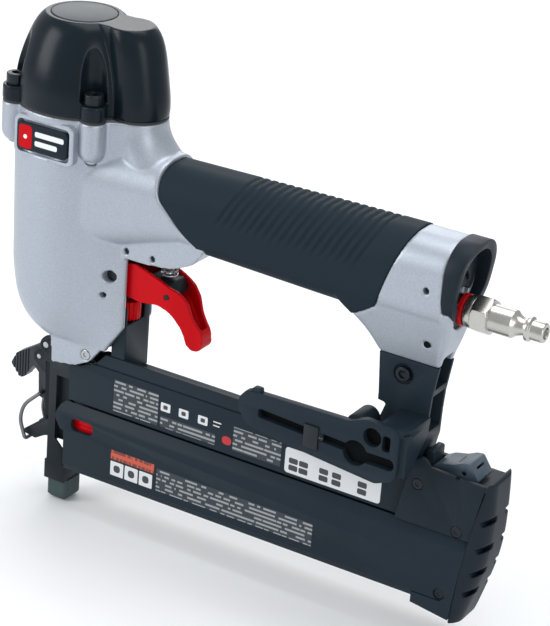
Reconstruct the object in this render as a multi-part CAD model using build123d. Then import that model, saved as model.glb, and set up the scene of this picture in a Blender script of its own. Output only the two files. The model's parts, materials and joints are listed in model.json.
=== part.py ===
from build123d import *
import os
from math import acos, atan2, cos, sin

# Pneumatic brad nailer.  Millimetres.  +Z up the driver axis, +X rearward along the handle and
# magazine, -Y the tool's left side.  The origin is the centre of the no-mar tip's bottom face.

# ---- driving dimensions -------------------------------------------------------------------
CLEAR = 0.3                    # gap between pieces that move past each other
PIN_GAP = 0.05                 # radial gap of a pin in its hole

CAP_TOP = 235.6                # top of the cap
CAP_SEAM = 197.0               # lower face of the cap
GASKET_T = 1.0
HEAD_TOP = CAP_SEAM - GASKET_T
HEAD_R = 28.5                  # cylinder casting radius at the seam
BOLT_X = 20.5                  # cap bolts stand at the corners of a rectangle
BOLT_Y = 20.0
BOLT_R = 2.5
BOLT_HEAD_R = 4.3
LUG_R = 5.8
LUG_TOP = 203.5
LOBE_X = 30.5                  # rear lobe of cap and casting
LOBE_R = 13.3

WEB_BACK = 36.0                # rear edge of the web under the cylinder
WEB_HALF = 13.0
BAY_HALF = 10.2                # half width of the trigger bay inside the web
HEAD_BOTTOM = 86.5

BORE_R = 14.5                  # cylinder bore
SLEEVE_R = 17.5
SLEEVE_LOW = 101.5
SLEEVE_HIGH = 184.0
PISTON_TOP = 183.0
PISTON_LOW = 172.0
BLADE_W = 5.0
BLADE_T = 1.6
BLADE_TIP = 77.0

HANDLE_HALF = 16.5             # half width of the handle
GRIP_T = 2.4                   # rubber thickness
GRIP_PROUD = 0.4
HANDLE_END = 191.0             # front face of the end ring
INLET_Z = 152.2                # axis of the air inlet
ARM_LOW = 126.0                # bottom of the rear arm
ARM_HALF = 7.0
TONGUE_HALF = 4.4              # bracket's tongue inside the arm
BRACKET_SCREW_X = 173.0
BRACKET_SCREW_Z = 118.8

PLUG_TIP = 231.0
PLUG_HEX = 14.3                # across flats
PLUG_BODY_R = 5.95
PLUG_TIP_R = 4.3

PIVOT_X = 29.4                 # trigger dowel
PIVOT_Z = 124.6
PIVOT_R = 2.8
TRIGGER_HALF = 8.8
TRIGGER_WALL = 1.8
LEVER_PIN_X = 55.4
LEVER_PIN_Z = 119.8
VALVE_X = 51.0                 # axis of the trigger valve
VALVE_R = 7.5
VALVE_LOW = 135.0
VALVE_HIGH = 156.0

WHEEL_X = 30.2                 # depth wheel axis
WHEEL_R = 6.0
WHEEL_LOW = 101.0
WHEEL_HIGH = 109.6
STUD_R = 2.0

GUARD_BACK = 36.0              # rear wall of the linkage guard
GUARD_HALF = 9.6
GUARD_IN = 8.4
GUARD_TOP = 109.0

PAD_TOP = 10.5                 # top of the no-mar tip
TRIP_IN = 7.2                  # side arms of the safety trip lie between these half widths
TRIP_OUT = 8.1
NOSE_BASE = 31.0               # lowest point of the fixed nose

MAG_HALF = 10.0                # fixed, upper part of the magazine
DECK = 75.4                    # top of the fixed magazine
WALL_TOP = 83.6                # its left wall stands higher
MAG_LOW = 55.3
MAG_BACK = 190.0
CORE_HALF = 3.5                # rail that the nails straddle
FOOT_LOW = 24.4
SLIDE_HALF = 13.0              # sliding, lower part of the magazine
SLIDE_LOW = 21.0
SLIDE_TOP = 55.0
SLIDE_WALL = 2.2

HOOK_OUT = 28.0                # outer face of the belt hook, left of the middle plane
HOOK_T = 3.2

DOOR_PIVOT_X = -9.0            # nose door hinge
DOOR_PIVOT_Z = 77.0
LATCH_PIVOT_X = -14.0          # jam latch lever
LATCH_PIVOT_Z = 69.0
BAIL_PIVOT_X = -12.0           # wire bail on the lever
BAIL_PIVOT_Z = 51.0
BAIL_R = 0.9
NOSE_HALF = 7.0                # half width of the steel nose
LATCH_HALF = 3.2               # half width of the jam latch lever

MAG_LATCH_X = 205.4            # magazine latch pivot
MAG_LATCH_Z = 82.6
LATCH_WIDE = 6.5              # half width of the magazine latch
COVER_SCREWS = ((187.4, 74.0), (207.6, 58.0), (203.0, 26.6))


# ---- helpers --------------------------------------------------------------------------------
def outline(*corners):
    """Closed sketch; a corner is (a, b) or (a, b, rounding radius)."""
    points = [corner[:2] for corner in corners]
    radii = [corner[2] if len(corner) == 3 else 0.0 for corner in corners]
    return make_face(FilletPolyline(*points, radius=radii, close=True))


def side(sketch, low, high):
    """Side elevation (x, z) extruded from y=low to y=high."""
    return extrude(Plane.XZ.offset(-high) * sketch, amount=high - low)


def plan(sketch, low, high):
    """Plan (x, y) extruded from z=low to z=high."""
    return extrude(Plane.XY.offset(low) * sketch, amount=high - low)


def cross(sketch, low, high):
    """Cross-section (y, z) extruded from x=low to x=high."""
    return extrude(Plane.YZ.offset(low) * sketch, amount=high - low)


def turned(*corners):
    """Ring or disc turned about the driver axis from an (r, z) outline."""
    return revolve(Plane.XZ * outline(*corners), Axis.Z)


def post(x, y, radius, low, high):
    return Pos(x, y, (low + high) / 2) * Cylinder(radius, high - low)


def bar_y(x, z, radius, low, high):
    return Pos(x, (low + high) / 2, z) * Rot(90, 0, 0) * Cylinder(radius, high - low)


def bar_x(y, z, radius, low, high):
    return Pos((low + high) / 2, y, z) * Rot(0, 90, 0) * Cylinder(radius, high - low)


def block(x0, x1, y0, y1, z0, z1):
    return Pos((x0 + x1) / 2, (y0 + y1) / 2, (z0 + z1) / 2) * Box(x1 - x0, y1 - y0, z1 - z0)


def both_sides(shape):
    return shape + mirror(shape, Plane.XZ)


def coil(x, radius, wire, low, high, turns):
    """Compression spring standing on z=low, with its wire inside low..high."""
    height = high - low - 2 * wire
    path = Pos(x, 0, low + wire) * Helix(height / turns, height, radius)
    start = Plane(path @ 0, z_dir=path % 0)
    return sweep(start * Circle(wire), path)


def bolt_places():
    return [(sx * BOLT_X, sy * BOLT_Y) for sx in (-1, 1) for sy in (-1, 1)]


# ---- casting --------------------------------------------------------------------------------
def head_section(height, radius):
    """Round front of the cylinder running tangent into the flat-sided web."""
    corner = 3.0
    cx = WEB_BACK - corner
    cy = WEB_HALF - corner
    reach = (cx ** 2 + cy ** 2) ** 0.5
    turn = atan2(cy, cx) + acos((radius - corner) / reach)
    front = (radius * cos(turn), radius * sin(turn))
    rear = (cx + corner * cos(turn), cy + corner * sin(turn))
    low_front = (front[0], -front[1])
    low_rear = (rear[0], -rear[1])
    middle = turn / 2
    knuckle = (cx + corner * cos(middle), cy + corner * sin(middle))
    low_knuckle = (knuckle[0], -knuckle[1])
    edges = [
        ThreePointArc(front, (-radius, 0), low_front),
        Line(low_front, low_rear),
        ThreePointArc(low_rear, low_knuckle, (WEB_BACK, -cy)),
        Line((WEB_BACK, -cy), (WEB_BACK, cy)),
        ThreePointArc((WEB_BACK, cy), knuckle, rear),
        Line(rear, front),
    ]
    return Plane.XY.offset(height) * make_face(edges)


def handle_section(x, low, high, half, grow=0.0):
    """Nearly oval cross-section of the handle."""
    width = 2 * (half + grow)
    height = high - low + 2 * grow
    shape = RectangleRounded(width, height, min(width, height) / 2 - 2.0)
    return Plane.YZ.offset(x) * Pos(0, (low + high) / 2) * shape


def handle_solid(grow, start, end):
    """Handle from start to end; it deepens slightly towards the rear."""
    sections = []
    for share in (0.0, 0.35, 0.7, 1.0):
        x = start + share * (end - start)
        high = 180.0 + 2.6 * min(1.0, (x - 20) / 140)
        low = 144.8 - 2.6 * min(1.0, max(0.0, (x - 60) / 90))
        sections.append(handle_section(x, low, high, HANDLE_HALF, grow))
    return loft(sections)


def grip_zone():
    """Side elevation of the rubber, swept right across the handle."""
    shape = outline((54, 196, 2), (51.6, 177, 12), (53.5, 168, 10), (71.5, 149.5, 5), (73, 130),
                    (140, 130), (146, 139.4), (154.5, 144.6, 6), (160.5, 149.0, 6),
                    (164.5, 162, 60), (175, 190, 40), (177, 196))
    return side(shape, -30, 30)


def arm_solid(grow=0.0):
    """Rear arm that drops from the handle to the bracket and narrows on the way."""
    levels = [(ARM_LOW, 160.4, 189.0, ARM_HALF, 1.5), (132, 156.2, 190.4, 9.0, 2.5),
              (137, 151.6, 191.8, 10.6, 3.5), (142, 145.6, 192.8, 12.2, 4.0),
              (147, 140.4, 193.8, 13.9, 4.0), (154, 138.0, 194.5, 15.8, 4.0)]
    sections = []
    for height, front, back, half, corner in levels:
        shape = RectangleRounded(back - front + 2 * grow, 2 * (half + grow), corner)
        sections.append(Plane.XY.offset(height) * Pos((front + back) / 2, 0) * shape)
    return loft(sections)


def casting_outside():
    bowl = loft([head_section(z, r) for z, r in (
        (HEAD_BOTTOM, 13.4), (90, 17.0), (96, 21.5), (104, 24.8), (114, 26.6), (126, 27.4))])
    head = bowl + loft([head_section(126, 27.4), head_section(HEAD_TOP, HEAD_R)], ruled=True)
    head -= side(outline((37, 101.5), (27.5, 87.4, 5), (27.5, 80), (45, 80), (45, 101.5)), -20, 20)
    lugs = Part()
    for x, y in bolt_places():
        lugs += post(x, y, LUG_R, 183, HEAD_TOP) + Pos(x, y, 183) * Sphere(LUG_R)
    lobe = loft([Plane.XY.offset(z) * Pos(x, 0) * Circle(r) for z, x, r in (
        (172, 40, 14.5), (180, 37.5, 14.6), (186, 33.5, 13.6), (191, 31.5, 13.2),
        (HEAD_TOP, LOBE_X, LOBE_R))])
    belly = side(outline((20, 134.0), (43, 134.0), (60, 135.6, 20), (70.5, 140.6, 8),
                         (75.5, 147.5, 5), (75.5, 160), (20, 160)), -WEB_HALF, WEB_HALF)
    belly = fillet(belly.edges().filter_by(Axis.Y).group_by(Axis.X)[-1], 2)
    cheeks = side(outline((-2.6, 90), (-1.4, 73.2, 1), (11, 75, 10), (19, 79, 6),
                          (25, 86.5), (25, 90)), -WEB_HALF, WEB_HALF)
    neck = loft([handle_section(6, 127, 188, 24.0), handle_section(32, 136, 184.5, 20.2),
                 handle_section(64, 144.7, 181.2, HANDLE_HALF)])
    return head + lugs + lobe + belly + cheeks + (neck - grip_zone())


def housing_body():
    shell = casting_outside()
    handle = handle_solid(0, 22, HANDLE_END)
    core = handle_solid(-GRIP_T, 22, HANDLE_END)
    shell += (handle + arm_solid() - grip_zone()) + core
    rim = turned((0, 92), (11, 92, 3), (17.9, 99.5, 3), (19.6, 106, 8), (21.4, 122, 20),
                 (23.4, HEAD_TOP + 1), (0, HEAD_TOP + 1))
    lands = turned((SLEEVE_R + 0.05, 138), (26, 138), (26, 144), (SLEEVE_R + 0.05, 144))
    shell -= rim
    shell += lands & post(0, 0, 26, 130, 150)
    shell -= post(0, 0, 3.2, 80, 95)
    shell -= handle_solid(-GRIP_T - 3.2, 58, HANDLE_END - 6)
    shell -= side(outline((18.6, 97), (18.6, 134), (46, 134), (46, 97)), -BAY_HALF, BAY_HALF) \
        - post(0, 0, 23.6, 90, 140)
    shell -= side(outline((-6, 70), (-6, 86.4), (26, 86.4), (26, 97.5), (40, 97.5), (40, 70)),
                  -BAY_HALF, BAY_HALF)
    shell -= post(VALVE_X, 0, VALVE_R + 0.02, 130, VALVE_HIGH)
    shell -= bar_y(PIVOT_X, PIVOT_Z, PIVOT_R, -20, 20)
    for x, z in ((27.0, 115.4), (36.2, 137.8), (49.9, 137.8)):
        shell -= bar_y(x, z, 1.4, -20, 20)
    shell -= bar_y(17, 82, 1.32, -20, 20)
    shell -= both_sides(bar_y(17, 82, 2.7, -20, -WEB_HALF + 1.2))
    for x, y in bolt_places():
        shell -= post(x, y, BOLT_R + 0.02, 176, 200)
    shell -= bar_x(0, INLET_Z, 9.0, HANDLE_END - 2, 210)
    shell -= bar_x(0, INLET_Z, 6.3, 165, 200)
    shell -= cross(Pos(0, 166) * RectangleRounded(22, 27, 9), HANDLE_END - 3, 200)
    for x, z, r in ((183.6, 162.5, 1.5), (184.0, 136.8, 1.5)):
        shell -= bar_y(x, z, r, -20, -8)
    shell -= block(150, 200, -TONGUE_HALF, TONGUE_HALF, 120, 130)
    shell -= side(outline((-13.8, 176.5, 2), (14.2, 176.5, 2), (14.2, 192, 2), (-13.8, 192, 2)),
                  -40, -26.4)
    return shell


def cap_lofts():
    """Dome, rear lobe and the waist that joins them up to the flat top."""
    dome = loft([Plane.XY.offset(z) * Circle(r) for z, r in (
        (CAP_SEAM, 28.8), (206, 28.6), (212, 27.7), (219, 25.8), (227, 22.9), (232.6, 19.8),
        (CAP_TOP, 16.6))])
    lobe = loft([Plane.XY.offset(z) * Pos(x, 0) * Circle(r) for z, x, r in (
        (CAP_SEAM, LOBE_X, LOBE_R), (210, 30.0, 13.2), (222, 28.4, 12.8), (231, 26.4, 11.9),
        (CAP_TOP, 24.2, 10.4))])
    waist = loft([Plane.XY.offset(z) * Pos(17, 0) * Rectangle(14, width) for z, width in (
        (CAP_SEAM, 22.8), (222, 22.6), (231, 21.0), (CAP_TOP, 19.0))])
    return dome + lobe + waist


def cylinder_cap():
    body = cap_lofts()
    for x, y in bolt_places():
        body += post(x, y, LUG_R, CAP_SEAM, LUG_TOP)
        body -= post(x, y, LUG_R, LUG_TOP, CAP_TOP + 5)
    for x, y in bolt_places():
        body -= post(x, y, BOLT_R + 0.02, CAP_SEAM - 1, LUG_TOP + 1)
    body -= turned((0, CAP_SEAM - 1), (23.0, CAP_SEAM - 1), (23.0, 206, 1), (18, 209, 1), (15, 226, 4),
                   (0, 229))
    body += turned((0, 205), (4.5, 205), (4.5, 230), (0, 230))
    body -= plan(Circle(14.6), CAP_TOP - 1.0, CAP_TOP + 1)
    return body


def cap_top_pad():
    pad = plan(Circle(14.5), CAP_TOP - 1.0, CAP_TOP + 0.2)
    return chamfer(pad.edges().group_by(Axis.Z)[-1], 0.4)


def cap_gasket():
    sheet = plan(Circle(HEAD_R), HEAD_TOP, CAP_SEAM) + post(LOBE_X, 0, LOBE_R, HEAD_TOP, CAP_SEAM)
    for x, y in bolt_places():
        sheet += post(x, y, LUG_R - 0.2, HEAD_TOP, CAP_SEAM)
        sheet -= post(x, y, BOLT_R + 0.02, HEAD_TOP - 1, CAP_SEAM + 1)
    return sheet - post(0, 0, 23.4, HEAD_TOP - 1, CAP_SEAM + 1)


def socket_screw(head_r, head_h, shank_r, length, hex_af):
    """Socket head screw; the head's seat is at z=0 and the shank points down."""
    head = Pos(0, 0, head_h / 2) * Cylinder(head_r, head_h)
    head = fillet(head.edges().group_by(Axis.Z)[-1], 0.5)
    socket = RegularPolygon(hex_af / 2, 6, major_radius=False)
    head -= Pos(0, 0, head_h * 0.4) * extrude(socket, amount=head_h)
    return head + Pos(0, 0, -length / 2) * Cylinder(shank_r, length)


def cap_bolts():
    screw = socket_screw(BOLT_HEAD_R, 5.0, BOLT_R, 24, 4.0)
    return [Pos(x, y, LUG_TOP) * screw for x, y in bolt_places()]


def badge_plate():
    plate = side(outline((-12.9, 178, 2.2), (13.3, 178, 2.2), (13.3, 190.4, 2.2),
                         (-12.9, 190.4, 2.2)), -28.4, -26.4)
    return plate


# ---- cylinder -------------------------------------------------------------------------------
def cylinder_sleeve():
    tube = turned((BORE_R, SLEEVE_LOW), (SLEEVE_R, SLEEVE_LOW), (SLEEVE_R, SLEEVE_HIGH - 1),
                  (SLEEVE_R - 1, SLEEVE_HIGH), (BORE_R, SLEEVE_HIGH))
    tube -= turned((SLEEVE_R - 1.5, 140), (SLEEVE_R + 1, 140), (SLEEVE_R + 1, 142),
                   (SLEEVE_R - 1.5, 142))
    for turn in range(8):
        place = Rot(0, 0, 45 * turn) * bar_x(0, 112, 1.6, BORE_R - 2, SLEEVE_R + 2)
        tube -= place
    return tube


def sleeve_oring():
    return turned((SLEEVE_R - 1.45, 140.1), (SLEEVE_R - 0.02, 140.1), (SLEEVE_R - 0.02, 141.9),
                  (SLEEVE_R - 1.45, 141.9))


def bumper():
    return turned((3.4, 92.2), (10.6, 92.2, 3), (14.2, 100.8, 2), (3.4, 101.0))


def piston():
    body = turned((0, PISTON_LOW), (8, PISTON_LOW), (BORE_R - 0.1, 176, 1), (BORE_R - 0.1, PISTON_TOP),
                  (9, PISTON_TOP), (7, PISTON_TOP - 3), (0, PISTON_TOP - 3))
    body -= turned((BORE_R - 1.8, 178.4), (BORE_R + 1, 178.4), (BORE_R + 1, 180.6),
                   (BORE_R - 1.8, 180.6))
    return body - block(-BLADE_T / 2, BLADE_T / 2, -BLADE_W / 2, BLADE_W / 2, PISTON_LOW - 1,
                        PISTON_LOW + 5)


def piston_ring():
    return turned((BORE_R - 1.75, 178.5), (BORE_R - 0.06, 178.5), (BORE_R - 0.06, 180.5),
                  (BORE_R - 1.75, 180.5))


def driver_blade():
    return block(-BLADE_T / 2, BLADE_T / 2, -BLADE_W / 2, BLADE_W / 2, BLADE_TIP, PISTON_LOW + 5)


def head_valve():
    return turned((BORE_R - 3, SLEEVE_HIGH + 0.3), (22.6, SLEEVE_HIGH + 0.3), (22.6, 196.0, 1),
                  (9.5, 196.0, 1), (9.5, 193.0), (BORE_R - 3, 190))


def head_valve_spring():
    return coil(0, 20.6, 0.9, 196.1, 205.8, 2.5)


# ---- handle ---------------------------------------------------------------------------------
def grip_sleeve():
    sleeve = (handle_solid(GRIP_PROUD, 40, 180) + arm_solid(GRIP_PROUD)) & grip_zone()
    return sleeve - handle_solid(-GRIP_T, 22, HANDLE_END) - casting_outside()


def ring_blank(inset, front, back_low, back_high):
    """Handle-shaped disc whose rear face leans: further back at the top."""
    blank = cross(Pos(0, 165.5) * RectangleRounded(2 * (HANDLE_HALF - inset), 34.8 - 2 * inset,
                                                   14.4 - inset * 0.7), front, 205)
    return blank & side(outline((front, 140), (back_low, 140), (back_high, 190), (front, 190)),
                        -30, 30)


def handle_end_cap():
    ring = ring_blank(-0.4, HANDLE_END, 193.4, 200.6) - ring_blank(3.4, HANDLE_END - 1, 220, 220)
    ring -= bar_x(0, INLET_Z, 9.2, 180, 210)
    ring -= arm_solid()
    return ring


def exhaust_muffler():
    plate = cross(Pos(0, 168.2) * RectangleRounded(21.6, 22.4, 9), HANDLE_END - 2.9, HANDLE_END + 1.2)
    for turn in range(5):
        slot = cross(Pos(0, 170) * Rot(0, 0, 72 * turn) * Pos(0, 5) * RectangleRounded(2.2, 5.4, 1),
                     HANDLE_END - 1, 200)
        plate -= slot
    return plate - bar_x(0, INLET_Z, 9.3, 180, 210)


def plug_seal_ring():
    return bar_x(0, INLET_Z, 6.95, 193.4, 195.8) - bar_x(0, INLET_Z, 6.25, 190, 200)


def air_plug():
    """Industrial quick-connect plug with a hex, turned neck and bored through."""
    profile = make_face(Polyline(
        (172, 0), (172, 6.2), (196.8, 6.2), (196.8, 7.0), (199.6, 7.0), (199.6, 6.6), (207.4, 6.6),
        (207.4, PLUG_BODY_R), (217.0, PLUG_BODY_R), (218.6, 4.6), (221.2, 3.6), (222.6, 3.6),
        (223.2, 5.3), (224.6, 5.3), (225.4, PLUG_TIP_R), (230.2, PLUG_TIP_R), (PLUG_TIP, 3.9),
        (PLUG_TIP, 0), close=True))
    body = Pos(0, 0, INLET_Z) * revolve(Plane.XZ * profile, Axis.X)
    hexagon = RegularPolygon(PLUG_HEX / 2, 6, major_radius=False)
    nut = cross(Pos(0, INLET_Z) * Rot(0, 0, 30) * hexagon, 199.8, 207.2)
    nut &= Pos(0, 0, INLET_Z) * revolve(Plane.XZ * make_face(Polyline(
        (199.8, 0), (199.8, 7.4), (200.8, 8.4), (206.2, 8.4), (207.2, 7.4), (207.2, 0),
        close=True)), Axis.X)
    return body + nut - bar_x(0, INLET_Z, 2.6, 160, 240)


# ---- trigger group --------------------------------------------------------------------------
def trigger_pivot_pin():
    return bar_y(PIVOT_X, PIVOT_Z, PIVOT_R, -WEB_HALF + 0.05, WEB_HALF - 0.05)


def trigger_width(half, tip_half):
    """Plan of the trigger: parallel cheeks that draw in to a narrow tip."""
    return plan(outline((15, -half), (56, -half, 20), (70, -tip_half, 10), (80, -tip_half),
                        (80, tip_half), (70, tip_half, 10), (56, half, 20), (15, half)), 90, 140)


def trigger():
    shape = outline((23.1, 128.3, 4), (23.1, 118.7, 4), (33, 115.0, 2), (41.5, 113.6, 8),
                    (51.5, 115.0, 10), (57.4, 112.8, 10), (63.2, 105.0, 20), (65.0, 98.8, 3.8),
                    (68.7, 95.2, 3.3), (72.5, 98.4, 3.3), (72.0, 104.8, 8), (67.0, 111.6, 10),
                    (64.6, 118.6, 3), (61.0, 122.6, 4), (52, 126.6, 10), (39, 131.0, 5), (33, 130.2, 2))
    body = side(shape, -TRIGGER_HALF, TRIGGER_HALF) & trigger_width(TRIGGER_HALF, 4.2)
    hollow = side(outline((15, 140), (15, 110), (37.0, 110), (37.0, 117.4), (50, 117.6, 6),
                          (58.8, 115.4, 8), (67.0, 104.6, 3), (70.5, 106), (80, 115), (70, 140)), -20, 20)
    body -= hollow & trigger_width(TRIGGER_HALF - TRIGGER_WALL, 2.4)
    body -= bar_y(PIVOT_X, PIVOT_Z, PIVOT_R + PIN_GAP, -20, 20)
    return body - bar_y(LEVER_PIN_X, LEVER_PIN_Z, 1.35, -20, 20)


def lever_pin():
    return bar_y(LEVER_PIN_X, LEVER_PIN_Z, 1.35, -TRIGGER_HALF + 0.3, TRIGGER_HALF - 0.3)


def trigger_lever():
    shape = outline((38.5, 119.6, 1), (48, 119.0, 2), (56.0, 117.4, 1.6), (58.0, 120.6, 2),
                    (55.0, 125.0, 2), (44, 126.3, 2), (38.5, 122.6, 1))
    body = side(shape, -6.4, 6.4) & trigger_width(6.4, 1.6)
    return body - bar_y(LEVER_PIN_X, LEVER_PIN_Z, 1.35, -20, 20)


def trigger_valve_body():
    body = post(VALVE_X, 0, VALVE_R, VALVE_LOW, VALVE_HIGH)
    body -= post(VALVE_X, 0, 2.05, VALVE_LOW - 1, VALVE_HIGH + 1)
    return body - post(VALVE_X, 0, 4.5, 142, VALVE_HIGH - 2)


def trigger_valve_stem():
    stem = post(VALVE_X, 0, 2.0, 127.0, 150) + post(VALVE_X, 0, 3.9, 143.5, 146)
    return stem + post(VALVE_X, 0, 4.0, 127.0, 127.8)


def trigger_spring():
    return coil(VALVE_X, 3.4, 0.45, 127.9, 134.8, 4)


def roll_pins():
    """One pin right across ahead of the valve, and two pairs of short ones."""
    reach = WEB_HALF - 1.2
    pins = [bar_y(36.2, 137.8, 1.38, -reach, reach)]
    for x, z, inner in ((49.9, 137.8, VALVE_R + 0.6), (27.0, 115.4, BAY_HALF)):
        pins += [bar_y(x, z, 1.38, -reach, -inner), bar_y(x, z, 1.38, inner, reach)]
    return pins


# ---- depth adjustment and safety trip -----------------------------------------------------------
def depth_wheel():
    wheel = post(WHEEL_X, 0, WHEEL_R, WHEEL_LOW, WHEEL_HIGH)
    for turn in range(20):
        wheel -= Pos(WHEEL_X, 0, 0) * Rot(0, 0, 18 * turn) * post(WHEEL_R + 0.2, 0, 0.6, 100, 120)
    wheel -= post(WHEEL_X, 0, STUD_R + PIN_GAP, 100, 120)
    return wheel


def linkage_guard():
    """Column on the magazine, open to the front, with a notch for the wheel in its rear wall."""
    body = block(28.6, GUARD_BACK, -GUARD_HALF, GUARD_HALF, DECK, GUARD_TOP)
    body -= block(20, GUARD_BACK - 1, -GUARD_IN, GUARD_IN, 70, 120)
    body -= block(20, 50, -20, -GUARD_IN, 70, WALL_TOP)
    return body - block(30, 40, -GUARD_IN, 5.3, WHEEL_LOW - 0.6, 120)


def contact_trip():
    """Safety: a foot round the nose, an arm and rail on each side, a yoke and the depth stud."""
    foot = block(-6.4, 4.6, -TRIP_OUT, TRIP_OUT, PAD_TOP, 20) - block(-4.6, 2.6, -TRIP_IN + 1,
                                                                   TRIP_IN - 1, 5, 30)
    arm = side(outline((-5.4, PAD_TOP + 0.5), (3.4, PAD_TOP + 0.5), (3.4, 28), (-1.2, 32.6),
                       (-1.2, 64.5), (33, 64.5), (33, 71.9), (-5.4, 71.9)), TRIP_IN, TRIP_OUT)
    yoke = block(26.6, 33, -TRIP_OUT, TRIP_OUT, 73.4, 78.4)
    yoke += both_sides(block(26.6, 33, TRIP_IN, TRIP_OUT, 71.8, 73.5))
    stud = post(WHEEL_X, 0, STUD_R, 78.3, 112.2)
    return foot + both_sides(arm) + yoke + stud


def trip_spring():
    return coil(WHEEL_X, 2.55, 0.35, 78.5, WHEEL_LOW - 0.2, 10)


def no_mar_pad():
    pad = Pos(-0.6, 0, 0) * plan(RectangleRounded(11.4, 12.8, 2.6), 0, PAD_TOP)
    pad = chamfer(pad.edges().group_by(Axis.Z)[0], 1.6)
    return pad - block(-3.0, 2.0, -3.0, 3.0, -1, 20)


# ---- nose -------------------------------------------------------------------------------------
def nosepiece():
    """Steel nose: channel for the blade, hinge ears above and hooks for the bail below."""
    body = block(-5.2, -1.2, -NOSE_HALF, NOSE_HALF, NOSE_BASE, 84)
    body += block(-1.2, 4.9, -5.2, 5.2, NOSE_BASE, 86.0)
    body -= block(-BLADE_T / 2 - 0.1, BLADE_T / 2 + 0.1, -BLADE_W / 2 - 0.1, BLADE_W / 2 + 0.1, 0, 90)
    ear = outline((-5.2, 71), (-5.2, 82), (-9, 82, 4), (-13.4, 77, 4), (-9, 72.2, 3))
    body += both_sides(side(ear, NOSE_HALF - 1.6, NOSE_HALF))
    hook = outline((-5.2, NOSE_BASE + 1), (-5.2, 40), (-8, 40, 1), (-19.8, 30.6, 1), (-19.8, 29.2, 1),
                   (-13, 28.0, 1), (-8, NOSE_BASE))
    body += both_sides(side(hook, NOSE_HALF - 2.0, NOSE_HALF))
    return body - bar_y(DOOR_PIVOT_X, DOOR_PIVOT_Z, 1.5, -20, 20)


def nose_door():
    inner = NOSE_HALF - 1.6 - CLEAR
    plate = outline((-5.7, NOSE_BASE), (-8.8, NOSE_BASE, 1), (-9.8, 42), (-9.8, 66), (-8.0, 72),
                    (-8.6, 73.6), (-6.6, 73.6), (-5.7, 70))
    body = side(plate, -inner + 0.2, inner - 0.2)
    body += side(outline((-6.9, 68), (-11.2, 68), (-11.6, 77, 2), (-9.0, 79.8, 2.5), (-6.4, 77, 2)),
                 -inner, inner)
    ears = side(outline((-9.7, 62), (-9.7, 74), (-13, 73.4, 2), (-16.6, 70.6, 2.5),
                        (-16.6, 67.2, 2.5), (-12, 63, 2)), LATCH_HALF + CLEAR, inner)
    body += both_sides(ears)
    body -= bar_y(DOOR_PIVOT_X, DOOR_PIVOT_Z, 1.5 + PIN_GAP, -20, 20)
    return body - bar_y(LATCH_PIVOT_X, LATCH_PIVOT_Z, 1.2, -20, 20)


def door_pin():
    return bar_y(DOOR_PIVOT_X, DOOR_PIVOT_Z, 1.5, -NOSE_HALF, NOSE_HALF)


def lever_pivot_pin():
    return bar_y(LATCH_PIVOT_X, LATCH_PIVOT_Z, 1.2, -5.0, 5.0)


def jam_latch_lever():
    """Thumb lever with ribs; its lower limb carries the bail."""
    body = side(outline((-15.2, 72.0, 1.5), (-17.6, 72.6, 1), (-28.0, 66.0, 1.5), (-30.8, 60.2, 1.5),
                        (-25.8, 54.2, 1.5), (-23.4, 55.0, 1), (-18, 62.8), (-15.0, 60),
                        (-14.6, 47.6, 2), (-10.4, 47.6, 2), (-10.6, 60), (-11.4, 70.5, 2)),
                -LATCH_HALF, LATCH_HALF)
    for step in range(6):
        x = -28.6 + 1.55 * step
        body -= both_sides(block(x - 0.35, x + 0.35, LATCH_HALF - 0.5, LATCH_HALF + 1, 50, 75))
    body -= bar_y(LATCH_PIVOT_X, LATCH_PIVOT_Z, 1.2 + PIN_GAP, -20, 20)
    return body - bar_y(BAIL_PIVOT_X, BAIL_PIVOT_Z, BAIL_R + PIN_GAP, -20, 20)


def wire_bail():
    """Bent wire: through the lever, down both sides and under the hooks."""
    foot_x = -17.6
    foot_z = 26.9
    path = FilletPolyline(
        (BAIL_PIVOT_X, 0.4, BAIL_PIVOT_Z), (BAIL_PIVOT_X, 6.4, BAIL_PIVOT_Z), (-19.2, 8.6, 44),
        (-20.6, 8.8, 36), (foot_x, 8.6, foot_z), (foot_x, 0.4, foot_z),
        radius=[1.6, 12, 12, 1.6])
    start = Plane(path @ 0, z_dir=path % 0)
    right = sweep(start * Circle(BAIL_R), path)
    left = mirror(right, Plane.XZ)
    joins = bar_y(BAIL_PIVOT_X, BAIL_PIVOT_Z, BAIL_R, -0.6, 0.6) + bar_y(foot_x, foot_z, BAIL_R, -0.6, 0.6)
    return right + left + joins


def nose_screws():
    screw = Rot(90, 0, 0) * socket_screw(2.4, 1.1, 1.3, 1.5, 2.0)
    left = Pos(17, -WEB_HALF + 1.2, 82) * screw
    return [left, mirror(left, Plane.XZ)]


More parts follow.
